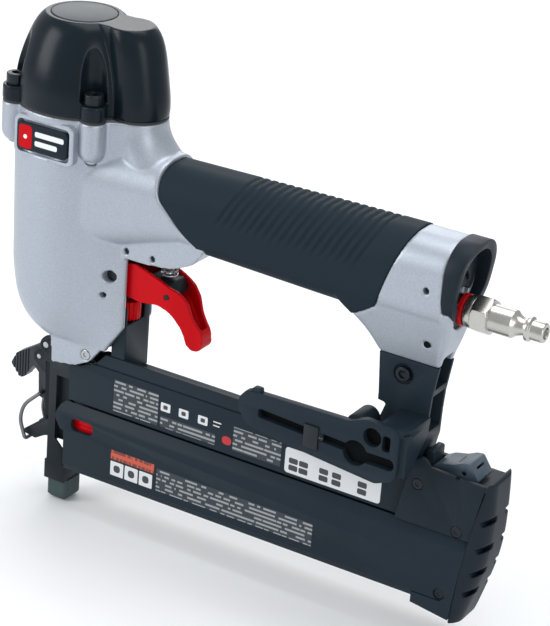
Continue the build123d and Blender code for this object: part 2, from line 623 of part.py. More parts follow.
# ---- magazine ---------------------------------------------------------------------------------
def fixed_magazine():
    shape = outline((-MAG_HALF, MAG_LOW, 1), (MAG_HALF, MAG_LOW, 1), (MAG_HALF, DECK, 1.2),
                    (-GUARD_IN, DECK), (-GUARD_IN, WALL_TOP), (-MAG_HALF, WALL_TOP, 0.5),
                    (-MAG_HALF, 78.1), (-9.4, 77.8), (-9.4, 77.3), (-MAG_HALF, 77.0))
    body = cross(shape, 7, MAG_BACK)
    body += cross(outline((-CORE_HALF, 30), (CORE_HALF, 30), (CORE_HALF, 60), (-CORE_HALF, 60)), 5.2,
                  MAG_BACK)
    body += cross(outline((-8, FOOT_LOW), (8, FOOT_LOW), (8, 27), (CORE_HALF, 30.5),
                          (-CORE_HALF, 30.5), (-8, 27)), 5.2, MAG_BACK)
    body -= cross(outline((-8.4, 57.2), (8.4, 57.2), (8.4, DECK - 2), (-8.4, DECK - 2)), 0, 176)
    body += cross(outline((-CORE_HALF, 56), (CORE_HALF, 56), (CORE_HALF, 72), (-CORE_HALF, 72)), 5.2,
                  177)
    body -= block(-1, GUARD_BACK - 1, -GUARD_IN, GUARD_IN, 73.3, 90)
    body -= side(outline((0, 75.0), (0, 100), (30, 100), (28.4, 86.0), (21, 77.8), (12, 74.0)), -20, 20)
    body -= block(5, 180, -0.6, 0.6, 20, 74)
    catch = outline((186.4, DECK - 1), (186.4, 87.0, 1), (MAG_BACK, 87.0, 1), (MAG_BACK, DECK - 1))
    return body + side(catch, -5, 5)


def rear_bracket():
    """Channel, open to the rear, that joins the arm to the magazine."""
    top = ARM_LOW - 0.1
    wall = outline((160.9, top), (189.0, top), (186.9, 111), (186.4, 102, 2), (186.2, 91),
                   (183, DECK), (167, DECK), (163, 94), (166.2, 103.2, 1), (162.2, 103.8),
                   (162.2, 107.6))
    body = side(wall, -ARM_HALF, ARM_HALF)
    body -= side(outline((167.0, 130), (167.0, 95), (200, 95), (200, 113.2), (179, 111.0),
                         (179, 114.0), (200, 116.6), (200, 130)), -ARM_HALF + 1.8, ARM_HALF - 1.8)
    body += block(166, 181, -TONGUE_HALF, TONGUE_HALF, 112, 129.4)
    body -= bar_y(BRACKET_SCREW_X, BRACKET_SCREW_Z, 2.02, -20, 20)
    return body - bar_y(BRACKET_SCREW_X, BRACKET_SCREW_Z, 4.6, -20, -ARM_HALF + 1.0)


def bracket_screw():
    screw = Rot(90, 0, 0) * socket_screw(3.4, 2.2, 2.0, 11, 3.0)
    return Pos(BRACKET_SCREW_X, -ARM_HALF + 1.0, BRACKET_SCREW_Z) * screw


def belt_hook():
    """Plate standing off the left side, with key holes, joined to the bracket by a leg."""
    plate = outline((105, 93, 7), (110.5, 99.6, 2), (117.5, 100.0), (160, 101.0, 10),
                    (168, 104.2, 6), (184.4, 103.4, 4), (184.4, 80.5, 5), (175, 76.6, 6),
                    (135, 80.4), (112, 83.6, 7))
    body = side(plate, -HOOK_OUT, -HOOK_OUT + HOOK_T)
    body += side(outline((111, 98.5, 1), (117.4, 98.5), (117.4, 101.8, 1), (113.6, 101.8, 2)),
                 -HOOK_OUT + 0.4, -HOOK_OUT + HOOK_T)
    holes = [Pos(172, 97) * Circle(4.3), Pos(178.7, 96) * RectangleRounded(3.8, 7.2, 1.2),
             Pos(164.6, 87.4) * Circle(5.8), Pos(174.2, 87.0) * RectangleRounded(18, 5.4, 2.6),
             outline((117, 93.2, 1.4), (117, 88.8, 1.4), (162, 86.6), (162, 90.6))]
    for hole in holes:
        body -= side(hole, -40, -20)
    leg = outline((173.6, -HOOK_OUT + 1), (173.6, -ARM_HALF), (187.6, -ARM_HALF),
                  (187.6, -HOOK_OUT + 6), (184.2, -HOOK_OUT + 0.6, 3))
    body += plan(leg, 99.8, 103.2)
    web = outline((-HOOK_OUT + 2, 82), (-HOOK_OUT + 2, 101), (-ARM_HALF, 101), (-ARM_HALF, 96),
                  (-14, 89, 3), (-22, 82))
    return body + cross(web, 184.0, 187.4)


def hook_clip():
    """Folded clip that holds the key in the hook's long slot."""
    return block(140, 147, -HOOK_OUT - 0.8, -HOOK_OUT + HOOK_T + 2.4, 90.0, 93.6) - \
        block(139, 148, -HOOK_OUT, -HOOK_OUT + HOOK_T, 80, 100) + \
        block(140, 147, -HOOK_OUT - 0.8, -HOOK_OUT, 83, 93.6)


def hook_knob():
    knob = bar_y(162.5, 98.4, 5.0, -HOOK_OUT + HOOK_T, -MAG_HALF - 2)
    return chamfer(knob.edges().group_by(Axis.Y)[-1], 1)


def sliding_magazine():
    """Lower channel of the magazine, which draws rearward to load."""
    wall = SLIDE_HALF - SLIDE_WALL
    floor = SLIDE_LOW + 2.4
    half = [(SLIDE_HALF - 1.4, SLIDE_LOW), (SLIDE_HALF - 1.0, 23.2), (SLIDE_HALF, 24),
            (SLIDE_HALF, 50, 3), (MAG_HALF + 0.4, SLIDE_TOP), (wall, SLIDE_TOP - 2.2), (wall, floor)]
    other = [(-corner[0], *corner[1:]) for corner in reversed(half)]
    shape = outline(*half, *other)
    body = cross(shape, 7, 216)
    front = side(outline((7, 41), (5, 41, 2), (1.6, 47, 5), (4, 53, 3), (7, 55.4), (12, 60), (12, 36)),
                 -30, 30)
    body += front & cross(shape, 0, 9)
    rib = outline((8.6, 28.0), (wall + 0.2, 28.0), (wall + 0.2, 31.5), (8.6, 30))
    body += both_sides(cross(rib, 40, 200))
    keel = side(outline((190, 23.4), (190, 18.4), (212, 15.2), (216, 38), (206, 38), (204, 23.4)),
                -SLIDE_HALF, SLIDE_HALF)
    body += keel - cross(outline((-wall, floor), (wall, floor), (wall, 60), (-wall, 60)), 180, 199)
    body -= side(outline((11, 42.4, 2.5), (23, 42.4, 2.5), (23, 48.6, 2.5), (11, 48.6, 2.5)), -40, 40)
    x, z = COVER_SCREWS[2]
    body -= both_sides(bar_y(x, z, 2.7, -20, -SLIDE_HALF + 1.2))
    body -= both_sides(bar_y(x, z, 1.02, -20, -SLIDE_HALF + 3))
    return body - side(seam_side(), -30, 30)


def seam_side():
    """Side elevation of all that lies behind the end cap's seam."""
    return outline((218.5, 84), (213.9, 57), (211.0, 38), (207.8, 12), (240, 12), (240, 84))


def rear_cover():
    """Cheeks over the magazine's rear end, with the block that carries the latch."""
    shape = outline((184.0, 84.2, 1), (178.2, 55.2), (220, 55.2), (220, 82.4), (192.2, 83.2),
                    (190.4, 85.6, 1.5), (188.0, 86.6, 1))
    body = both_sides(side(shape, MAG_HALF + CLEAR, SLIDE_HALF - 0.6))
    body -= block(170, 221, 5, 20, 78.9, 90)
    body += block(191.5, 220, -MAG_HALF - CLEAR, MAG_HALF + CLEAR, 55.2, 78.9)
    body += side(outline((202, 78), (203.0, 84.8, 2), (207.8, 84.8, 2), (208.8, 78)), -3, 3)
    body -= side(seam_side(), -30, 30)
    body -= bar_y(MAG_LATCH_X, MAG_LATCH_Z, 1.0, -20, 20)
    for x, z in COVER_SCREWS[:2]:
        body -= bar_y(x, z, 1.02, -20, 20)
        body -= both_sides(bar_y(x, z, 2.7, -20, -SLIDE_HALF + 1.2))
    return body


def cover_screws():
    screws = []
    for x, z in COVER_SCREWS:
        screw = Rot(90, 0, 0) * socket_screw(2.6, 0.6, 1.0, 1.4, 2.0)
        left = Pos(x, -SLIDE_HALF + 1.2, z) * screw
        screws += [left, mirror(left, Plane.XZ)]
    return screws


def magazine_end_cap():
    """Moulded rear end, rounded across, with slanting grooves on each side."""
    sections = []
    for height, rear in ((10, 210.4), (18, 213.4), (29, 216.6), (41, 219.6), (60, 221.6), (75, 221.4),
                         (84, 220.8)):
        section = RectangleRounded(20, 2 * SLIDE_HALF, 8)
        sections.append(Plane.XY.offset(height) * Pos(rear - 10, 0) * section)
    shape = outline((218.6, 82.8), (221.4, 82.8, 2.5), (223, 72), (223, 20), (214, 13.6, 2),
                    (208.0, 13.6), (211.0, 38), (213.9, 57))
    body = side(shape, -SLIDE_HALF, SLIDE_HALF) & loft(sections)
    for x, z in ((221.4, 66), (220.8, 53), (219.2, 41), (216.6, 30.5)):
        groove = Pos(x, 0, z) * Rot(0, -24, 0) * Box(8, 40, 2.6)
        body -= groove - block(200, 240, -4, 4, 0, 100)
    return body


def magazine_latch():
    """Rocking thumb latch on top of the sliding part's rear end, slotted for its lug."""
    shape = outline((190.8, 79.4, 0.6), (190.8, 81.6, 1), (194.6, 83.8, 4), (200.6, 85.2, 4),
                    (204.4, 87.0, 2), (207.8, 87.6, 1.6), (212.4, 81.0, 1), (212.0, 80.0))
    body = side(shape, -LATCH_WIDE, LATCH_WIDE) - block(201.0, 209.8, -3.3, 3.3, 78, 85.6)
    return body - bar_y(MAG_LATCH_X, MAG_LATCH_Z, 1.0 + PIN_GAP, -20, 20)


def latch_pin():
    return bar_y(MAG_LATCH_X, MAG_LATCH_Z, 1.0, -LATCH_WIDE + 0.2, LATCH_WIDE - 0.2)


def pusher():
    """Follower that straddles the rail and pushes the brads forward."""
    body = block(8.5, 27, -10.2, 10.2, 36, 49.8) - block(8, 28, -CORE_HALF - CLEAR, CORE_HALF + CLEAR,
                                                        30, 60)
    for z in (41.2, 44.4, 47.6):
        body -= both_sides(bar_x(10.4, z, 0.6, 8, 28))
    return body


PIECES = {
    "housing_body": housing_body,
    "cylinder_cap": cylinder_cap,
    "cap_top_pad": cap_top_pad,
    "cap_gasket": cap_gasket,
    "cap_bolts": cap_bolts,
    "badge_plate": badge_plate,
    "cylinder_sleeve": cylinder_sleeve,
    "sleeve_oring": sleeve_oring,
    "bumper": bumper,
    "piston": piston,
    "piston_ring": piston_ring,
    "driver_blade": driver_blade,
    "head_valve": head_valve,
    "head_valve_spring": head_valve_spring,
    "grip_sleeve": grip_sleeve,
    "handle_end_cap": handle_end_cap,
    "exhaust_muffler": exhaust_muffler,
    "plug_seal_ring": plug_seal_ring,
    "air_plug": air_plug,
    "trigger_pivot_pin": trigger_pivot_pin,
    "trigger": trigger,
    "lever_pin": lever_pin,
    "trigger_lever": trigger_lever,
    "trigger_valve_body": trigger_valve_body,
    "trigger_valve_stem": trigger_valve_stem,
    "trigger_spring": trigger_spring,
    "roll_pins": roll_pins,
    "depth_wheel": depth_wheel,
    "linkage_guard": linkage_guard,
    "contact_trip": contact_trip,
    "trip_spring": trip_spring,
    "no_mar_pad": no_mar_pad,
    "nosepiece": nosepiece,
    "nose_door": nose_door,
    "door_pin": door_pin,
    "lever_pivot_pin": lever_pivot_pin,
    "jam_latch_lever": jam_latch_lever,
    "wire_bail": wire_bail,
    "nose_screws": nose_screws,
    "fixed_magazine": fixed_magazine,
    "rear_bracket": rear_bracket,
    "bracket_screw": bracket_screw,
    "belt_hook": belt_hook,
    "hook_clip": hook_clip,
    "hook_knob": hook_knob,
    "sliding_magazine": sliding_magazine,
    "rear_cover": rear_cover,
    "cover_screws": cover_screws,
    "magazine_end_cap": magazine_end_cap,
    "magazine_latch": magazine_latch,
    "latch_pin": latch_pin,
    "pusher": pusher,
}

os.makedirs("parts", exist_ok=True)
for name, make in PIECES.items():
    made = make()
    solids = made if isinstance(made, list) else list(made.solids())
    export_step(solids[0] if len(solids) == 1 else Compound(children=solids), f"parts/{name}.step")
    print(name, len(solids))
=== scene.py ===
import json
import math

import bmesh
import bpy
from mathutils.bvhtree import BVHTree
from mathutils import Matrix, Vector


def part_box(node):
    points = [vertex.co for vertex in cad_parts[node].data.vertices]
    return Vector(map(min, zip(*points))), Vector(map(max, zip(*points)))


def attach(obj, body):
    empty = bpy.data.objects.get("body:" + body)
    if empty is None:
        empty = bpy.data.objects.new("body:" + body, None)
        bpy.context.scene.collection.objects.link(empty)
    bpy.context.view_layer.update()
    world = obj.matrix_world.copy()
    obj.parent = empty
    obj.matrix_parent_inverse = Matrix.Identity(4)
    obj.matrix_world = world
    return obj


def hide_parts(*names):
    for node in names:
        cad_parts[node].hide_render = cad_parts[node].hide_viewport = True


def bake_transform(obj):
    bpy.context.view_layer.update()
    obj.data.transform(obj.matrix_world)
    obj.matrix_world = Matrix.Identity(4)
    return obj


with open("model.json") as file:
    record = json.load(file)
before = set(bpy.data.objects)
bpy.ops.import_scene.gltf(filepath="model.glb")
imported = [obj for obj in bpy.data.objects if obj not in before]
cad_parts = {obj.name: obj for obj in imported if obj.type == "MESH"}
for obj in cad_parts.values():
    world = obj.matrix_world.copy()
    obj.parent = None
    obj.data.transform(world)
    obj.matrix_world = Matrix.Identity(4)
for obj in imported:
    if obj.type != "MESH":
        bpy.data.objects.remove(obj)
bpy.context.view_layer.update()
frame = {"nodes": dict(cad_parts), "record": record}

MM = 0.001
CAMERA_PLACE = (0.5738, -0.8299, 0.5480)
CAMERA_AZIMUTH = 29.43         # degrees round from the tool's left side towards its rear
CAMERA_ELEVATION = 23.97
CAMERA_ROLL = 4.57
CAMERA_LENS = 139.58           # mm, on a 36 mm sensor
CENTRE = (0.1, 0, 0.12)        # what the lights point at
BOLT_X, BOLT_Y = 20.5, 20.0    # where the cap's bolts stand, in mm
BODY_OF = {}
for body_name, members in frame["record"]["behaviour"]["bodies"].items():
    for member in members:
        BODY_OF[member] = body_name


# ---- camera and light -----------------------------------------------------------------------
def add_camera():
    azimuth = math.radians(CAMERA_AZIMUTH)
    elevation = math.radians(CAMERA_ELEVATION)
    roll = math.radians(CAMERA_ROLL)
    back = Vector((math.sin(azimuth) * math.cos(elevation), -math.cos(azimuth) * math.cos(elevation),
                   math.sin(elevation)))
    right = (-back).cross(Vector((0, 0, 1))).normalized()
    up = right.cross(-back)
    tilted_right = right * math.cos(roll) + up * math.sin(roll)
    tilted_up = up * math.cos(roll) - right * math.sin(roll)
    data = bpy.data.cameras.new("camera")
    data.sensor_width = 36.0
    data.lens = CAMERA_LENS
    data.clip_start = 0.05
    camera = bpy.data.objects.new("camera", data)
    bpy.context.scene.collection.objects.link(camera)
    camera.matrix_world = Matrix.Translation(CAMERA_PLACE) @ Matrix(
        (tilted_right, tilted_up, back)).transposed().to_4x4()
    bpy.context.scene.camera = camera


def add_light(name, place, power, width, height):
    """Soft rectangular light that points at the tool's centre."""
    data = bpy.data.lights.new(name, "AREA")
    data.shape = "RECTANGLE"
    data.size = width
    data.size_y = height
    data.energy = power
    light = bpy.data.objects.new(name, data)
    bpy.context.scene.collection.objects.link(light)
    direction = Vector(CENTRE) - Vector(place)
    light.location = place
    light.rotation_euler = direction.to_track_quat("-Z", "Y").to_euler()


def add_studio():
    """Four soft lights, a pale world and the paper floor."""
    add_light("overhead_light", (0.15, 0.15, 1.3), 9.5, 1.0, 0.9)
    add_light("left_light", (-0.9, -1.0, 0.75), 11.0, 0.7, 0.9)
    add_light("right_light", (1.3, -0.7, 0.55), 4.5, 0.5, 1.0)
    add_light("back_light", (-0.55, 1.2, 0.75), 6.0, 1.2, 0.8)
    world = bpy.data.worlds.new("studio_world")
    bpy.context.scene.world = world
    world.use_nodes = True
    background = world.node_tree.nodes["Background"]
    background.inputs["Color"].default_value = (0.93, 0.95, 0.97, 1)
    background.inputs["Strength"].default_value = 0.6
    mesh = bpy.data.meshes.new("floor")
    shape = bmesh.new()
    bmesh.ops.create_grid(shape, x_segments=8, y_segments=8, size=4.0)
    shape.to_mesh(mesh)
    shape.free()
    floor = bpy.data.objects.new("floor", mesh)
    floor.location = (0, 0, -0.0006)
    bpy.context.scene.collection.objects.link(floor)
    floor.data.materials.append(finish("floor_paper", (0.86, 0.87, 0.88), 0.9, shade=0.01, grain=900,
                                       bump=0.05))


# ---- materials ------------------------------------------------------------------------------
def finish(name, colour, roughness, metallic=0.0, shade=0.12, mottle=45.0, grain=2600.0, bump=0.12,
           depth=0.00008, speckle=0.0, wear=0.0, wear_colour=(0.4, 0.41, 0.42), stretch=None,
           specular=0.5):
    """Surface whose colour, roughness and height vary: a broad mottle, a fine grain and edge wear."""
    material = bpy.data.materials.new(name)
    material.use_nodes = True
    tree = material.node_tree
    shader = tree.nodes["Principled BSDF"]
    link = tree.links.new

    def node(kind, **values):
        made = tree.nodes.new(kind)
        for key, value in values.items():
            made.inputs[key].default_value = value
        return made

    def mix(share, first, second):
        mixer = tree.nodes.new("ShaderNodeMix")
        mixer.data_type = "RGBA"
        link(share, mixer.inputs[0])
        for socket, value in ((mixer.inputs[6], first), (mixer.inputs[7], second)):
            if isinstance(value, tuple):
                socket.default_value = (*value, 1)
            else:
                link(value, socket)
        return mixer.outputs[2]

    coordinates = tree.nodes.new("ShaderNodeTexCoord").outputs["Object"]
    if stretch:
        scaled = tree.nodes.new("ShaderNodeMapping")
        scaled.inputs["Scale"].default_value = stretch
        link(coordinates, scaled.inputs["Vector"])
        fine_coordinates = scaled.outputs["Vector"]
    else:
        fine_coordinates = coordinates
    broad = node("ShaderNodeTexNoise", Scale=mottle, Detail=5.0, Roughness=0.6)
    link(coordinates, broad.inputs["Vector"])
    fine = node("ShaderNodeTexNoise", Scale=grain, Detail=3.0, Roughness=0.7)
    link(fine_coordinates, fine.inputs["Vector"])
    dark = tuple(c * (1 - shade) for c in colour)
    light = tuple(min(1.0, c * (1 + shade) + shade * 0.01) for c in colour)
    tone = mix(broad.outputs["Fac"], dark, light)
    if speckle:
        points = tree.nodes.new("ShaderNodeMapRange")
        points.inputs["From Min"].default_value = 0.40
        points.inputs["From Max"].default_value = 0.66
        points.inputs["To Max"].default_value = speckle
        link(fine.outputs["Fac"], points.inputs["Value"])
        tone = mix(points.outputs["Result"], tone, tuple(min(1.0, c * 1.7 + 0.04) for c in colour))
    if wear:
        geometry = tree.nodes.new("ShaderNodeNewGeometry")
        edges = tree.nodes.new("ShaderNodeMapRange")
        edges.inputs["From Min"].default_value = 0.53
        edges.inputs["From Max"].default_value = 0.66
        edges.inputs["To Max"].default_value = wear
        link(geometry.outputs["Pointiness"], edges.inputs["Value"])
        chips = tree.nodes.new("ShaderNodeMath")
        chips.operation = "MULTIPLY"
        link(edges.outputs["Result"], chips.inputs[0])
        link(broad.outputs["Fac"], chips.inputs[1])
        tone = mix(chips.outputs["Value"], tone, wear_colour)
    link(tone, shader.inputs["Base Color"])
    gloss = tree.nodes.new("ShaderNodeMapRange")
    gloss.inputs["To Min"].default_value = max(0.02, roughness - 0.07)
    gloss.inputs["To Max"].default_value = min(1.0, roughness + 0.07)
    link(broad.outputs["Fac"], gloss.inputs["Value"])
    link(gloss.outputs["Result"], shader.inputs["Roughness"])
    shader.inputs["Metallic"].default_value = metallic
    shader.inputs["Specular IOR Level"].default_value = specular
    if bump:
        relief = node("ShaderNodeBump", Strength=bump, Distance=depth)
        link(fine.outputs["Fac"], relief.inputs["Height"])
        link(relief.outputs["Normal"], shader.inputs["Normal"])
    return material


def striped(name, base, ink, rows, across, gap, roughness=0.4):
    """Printed label with plain bars instead of words: bars of unequal length along x, in rows up z."""
    material = finish(name, base, roughness, shade=0.04, bump=0.02)
    tree = material.node_tree
    link = tree.links.new
    shader = tree.nodes["Principled BSDF"]
    under = shader.inputs["Base Color"].links[0].from_socket
    position = tree.nodes.new("ShaderNodeSeparateXYZ")
    link(tree.nodes["Texture Coordinate"].outputs["Object"], position.inputs[0])

    def maths(operation, first, second=None):
        made = tree.nodes.new("ShaderNodeMath")
        made.operation = operation
        for socket, value in ((made.inputs[0], first), (made.inputs[1], second)):
            if value is None:
                continue
            if isinstance(value, (int, float)):
                socket.default_value = value
            else:
                link(value, socket)
        return made.outputs[0]

    row = maths("MULTIPLY", position.outputs["Z"], rows)
    row_share = maths("FRACT", row)
    row_number = maths("FLOOR", row)
    pieces = tree.nodes.new("ShaderNodeTexNoise")
    pieces.noise_dimensions = "2D"
    pieces.inputs["Scale"].default_value = 1.0
    pieces.inputs["Detail"].default_value = 0.0
    spot = tree.nodes.new("ShaderNodeCombineXYZ")
    link(maths("MULTIPLY", position.outputs["X"], across), spot.inputs[0])
    link(maths("MULTIPLY", row_number, 7.31), spot.inputs[1])
    link(spot.outputs[0], pieces.inputs["Vector"])
    inside = maths("MULTIPLY", maths("GREATER_THAN", row_share, gap),
                   maths("GREATER_THAN", pieces.outputs["Fac"], 0.42))
    mixer = tree.nodes.new("ShaderNodeMix")
    mixer.data_type = "RGBA"
    link(inside, mixer.inputs[0])
    link(under, mixer.inputs[6])
    mixer.inputs[7].default_value = (*ink, 1)
    link(mixer.outputs[2], shader.inputs["Base Color"])
    return material


add_camera()
CAST = finish("cast_metal", (0.34, 0.375, 0.425), 0.4, metallic=0.6, shade=0.06, mottle=28, grain=2100,
              bump=0.35, depth=0.00012, speckle=0.3, wear=0.25, wear_colour=(0.6, 0.64, 0.68))
CAP = finish("cap_paint", (0.005, 0.0105, 0.016), 0.25, shade=0.15, grain=1500, bump=0.16, depth=0.0001,
             wear=0.25, wear_colour=(0.02, 0.03, 0.038), specular=0.17)
# cap top pad's paint; its base is lighter than the cap's, partly as painted sheen of the light falling on
# the top
CAP_TOP_PAINTED_SHEEN = finish("cap_top_paint_and_painted_sheen", (0.014, 0.023, 0.032), 0.36, shade=0.12, grain=2200, bump=0.25,
                 specular=0.25)
RUBBER = finish("grip_rubber", (0.0115, 0.0205, 0.029), 0.62, shade=0.1, mottle=60, grain=3200,
                bump=0.3, depth=0.0001, wear=0.3, wear_colour=(0.035, 0.048, 0.06), specular=0.1)
SEAL = finish("seal_rubber_look", (0.02, 0.02, 0.022), 0.6, bump=0.2)
BOLT = finish("black_oxide", (0.016, 0.021, 0.026), 0.33, metallic=0.75, shade=0.2, grain=3000, bump=0.15,
              wear=0.35, wear_colour=(0.13, 0.14, 0.15))
SLATE = finish("slate_paint_look", (0.0125, 0.0215, 0.0305), 0.42, shade=0.12, mottle=35, grain=2000,
               bump=0.2, depth=0.0001, wear=0.3, wear_colour=(0.05, 0.066, 0.08), specular=0.11)
PLASTIC = finish("black_plastic_look", (0.0105, 0.0175, 0.0255), 0.44, shade=0.12, grain=1800, bump=0.25,
                 depth=0.00012, wear=0.25, wear_colour=(0.04, 0.052, 0.064), specular=0.12)
RED = finish("red_plastic_look", (0.5, 0.0012, 0.0055), 0.24, shade=0.07, mottle=50, grain=1500, bump=0.06,
             wear=0.15, wear_colour=(0.62, 0.012, 0.02), specular=0.09)
RED_SEAL = finish("red_seal_look", (0.42, 0.004, 0.008), 0.35, shade=0.1, bump=0.05, specular=0.15)
STEEL = finish("steel_look", (0.42, 0.43, 0.45), 0.3, metallic=1.0, shade=0.1, grain=900, bump=0.12,
               stretch=(1, 1, 8))
DARK_STEEL = finish("dark_steel_look", (0.011, 0.016, 0.021), 0.38, metallic=0.3, shade=0.2, grain=1600,
                    bump=0.2, wear=0.4, wear_colour=(0.1, 0.11, 0.12), specular=0.15)
SPRING = finish("spring_look", (0.16, 0.165, 0.175), 0.32, metallic=0.9, shade=0.15, bump=0.05)
NICKEL = finish("nickel_look", (0.5, 0.49, 0.46), 0.27, metallic=1.0, shade=0.1, mottle=120, grain=1200,
                bump=0.1, stretch=(6, 1, 1), wear=0.25, wear_colour=(0.75, 0.74, 0.7))
ALUMINIUM = finish("aluminium_look", (0.7, 0.71, 0.72), 0.28, metallic=1.0, shade=0.06, grain=900,
                   bump=0.08, stretch=(1, 1, 10))
PAD = finish("pad_rubber_look", (0.045, 0.07, 0.071), 0.6, shade=0.15, grain=2400, bump=0.25, wear=0.3,
             wear_colour=(0.12, 0.15, 0.15), specular=0.2)
LATCH = finish("latch_look", (0.062, 0.09, 0.12), 0.4, shade=0.1, grain=2000, bump=0.2, wear=0.3,
               wear_colour=(0.14, 0.18, 0.21), specular=0.35)
LEVER = finish("lever_plastic_look", (0.03, 0.037, 0.046), 0.45, shade=0.15, grain=2000, bump=0.2,
               wear=0.3, wear_colour=(0.08, 0.095, 0.11), specular=0.2)

LOOKS = {
    "housing_body": (CAST, "remesh", 0.65, 5), "cylinder_cap": (CAP, "remesh", 0.5, 4),
    "cap_top_pad": (CAP_TOP_PAINTED_SHEEN, "bevel", 0.3), "cap_gasket": (SEAL, "keep"),
    "cap_bolts": (BOLT, "bevel", 0.3), "badge_plate": (PLASTIC, "bevel", 0.4),
    "cylinder_sleeve": (ALUMINIUM, "keep"), "sleeve_oring": (SEAL, "keep"), "bumper": (SEAL, "keep"),
    "piston": (ALUMINIUM, "keep"), "piston_ring": (SEAL, "keep"), "driver_blade": (STEEL, "keep"),
    "head_valve": (PLASTIC, "keep"), "head_valve_spring": (SPRING, "coil"),
    "handle_end_cap": (PLASTIC, "bevel", 0.8), "exhaust_muffler": (PLASTIC, "bevel", 0.2),
    "plug_seal_ring": (RED_SEAL, "bevel", 0.4), "air_plug": (NICKEL, "bevel", 0.25),
    "trigger_pivot_pin": (BOLT, "bevel", 0.4), "trigger": (RED, "remesh", 0.3, 4),
    "lever_pin": (BOLT, "bevel", 0.2), "trigger_lever": (DARK_STEEL, "bevel", 0.3),
    "trigger_valve_body": (PLASTIC, "bevel", 0.3), "trigger_valve_stem": (STEEL, "bevel", 0.2),
    "trigger_spring": (SPRING, "coil"), "roll_pins": (BOLT, "bevel", 0.2),
    "depth_wheel": (RED, "bevel", 0.25), "linkage_guard": (SLATE, "bevel", 0.5),
    "contact_trip": (DARK_STEEL, "bevel", 0.25), "trip_spring": (SPRING, "coil"),
    "no_mar_pad": (PAD, "bevel", 0.6), "nosepiece": (DARK_STEEL, "bevel", 0.3),
    "nose_door": (DARK_STEEL, "bevel", 0.3), "door_pin": (STEEL, "bevel", 0.3),
    "lever_pivot_pin": (STEEL, "bevel", 0.2), "jam_latch_lever": (LEVER, "bevel", 0.5),
    "wire_bail": (SPRING, "keep"), "nose_screws": (STEEL, "bevel", 0.15),
    "fixed_magazine": (SLATE, "bevel", 0.4), "rear_bracket": (SLATE, "bevel", 0.5),
    "bracket_screw": (BOLT, "bevel", 0.3), "belt_hook": (SLATE, "bevel", 0.6),
    "hook_clip": (BOLT, "bevel", 0.15), "hook_knob": (PLASTIC, "bevel", 0.4),
    "sliding_magazine": (SLATE, "bevel", 0.4), "rear_cover": (PLASTIC, "bevel", 0.4),
    "cover_screws": (BOLT, "bevel", 0.2), "magazine_end_cap": (PLASTIC, "remesh", 0.35, 4),
    "magazine_latch": (LATCH, "bevel", 0.6), "latch_pin": (BOLT, "bevel", 0.2),
    "pusher": (RED, "bevel", 0.3),
}


# ---- shaping --------------------------------------------------------------------------------
def shape_of(node):
    """The CAD node's mesh with its doubled points welded."""
    shape = bmesh.new()
    shape.from_mesh(frame["nodes"][node].data)
    bmesh.ops.remove_doubles(shape, verts=shape.verts, dist=2e-6)
    return shape


def new_piece(name, shape, material):
    """Object from bare vertices and faces, so that no old normals come along."""
    shape.verts.ensure_lookup_table()
    for index, vertex in enumerate(shape.verts):
        vertex.index = index
    mesh = bpy.data.meshes.new(name)
    corners = [[vertex.index for vertex in face.verts] for face in shape.faces]
    mesh.from_pydata([vertex.co.copy() for vertex in shape.verts], [], corners)
    mesh.materials.append(material)
    shape.free()
    piece = bpy.data.objects.new(name, mesh)
    bpy.context.scene.collection.objects.link(piece)
    return piece


def apply_modifiers(piece, smooth_angle):
    """Keeps the mesh that the modifiers make; edges sharper than smooth_angle degrees stay sharp."""
    bpy.context.view_layer.update()
    ready = piece.evaluated_get(bpy.context.evaluated_depsgraph_get())
    mesh = bpy.data.meshes.new_from_object(ready)
    material = piece.data.materials[0]
    piece.modifiers.clear()
    piece.data = mesh
    mesh.materials.clear()
    mesh.materials.append(material)
    mesh.shade_smooth()
    mesh.set_sharp_from_angle(angle=math.radians(smooth_angle))


def seat(piece, node):
    """Shows the piece in the CAD node's place, on its body."""
    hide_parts(node)
    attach(piece, BODY_OF[node])


def bevelled(node, material, width):
    """Copy of the node with softened edges."""
    shape = shape_of(node)
    bmesh.ops.dissolve_limit(shape, angle_limit=math.radians(0.6), verts=shape.verts, edges=shape.edges)
    piece = new_piece("shown_" + node, shape, material)
    bevel = piece.modifiers.new("soften", "BEVEL")
    bevel.width = width * MM
    bevel.segments = 2
    bevel.limit_method = "ANGLE"
    bevel.angle_limit = math.radians(38)
    bevel.use_clamp_overlap = True
    bevel.harden_normals = False
    apply_modifiers(piece, 32)
    seat(piece, node)
    return piece


def remeshed(node, material, voxel, passes):
    """Copy of the node as one even skin, relaxed so that its corners run together."""
    piece = new_piece("shown_" + node, shape_of(node), material)
    remesh = piece.modifiers.new("skin", "REMESH")
    remesh.mode = "VOXEL"
    remesh.voxel_size = voxel * MM
    relax = piece.modifiers.new("relax", "SMOOTH")
    relax.factor = 0.5
    relax.iterations = passes
    apply_modifiers(piece, 50)
    seat(piece, node)
    return piece


def kept(node, material):
    """CAD node shown as it is, with only its material set."""
    data = frame["nodes"][node].data
    if not data.materials:
        data.materials.append(material)
    for index in range(len(data.materials)):
        data.materials[index] = material


def coil(node, material):
    """Spring shown as a smooth-shaded copy of its CAD node, attached to no body."""
    piece = new_piece("shown_" + node, shape_of(node), material)
    piece.data.shade_smooth()
    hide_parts(node)
    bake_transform(piece)


def fade(value, low, high):
    """0 below low, 1 above high, and a smooth ramp between."""
    share = min(1.0, max(0.0, (value - low) / (high - low)))
    return share * share * (3 - 2 * share)


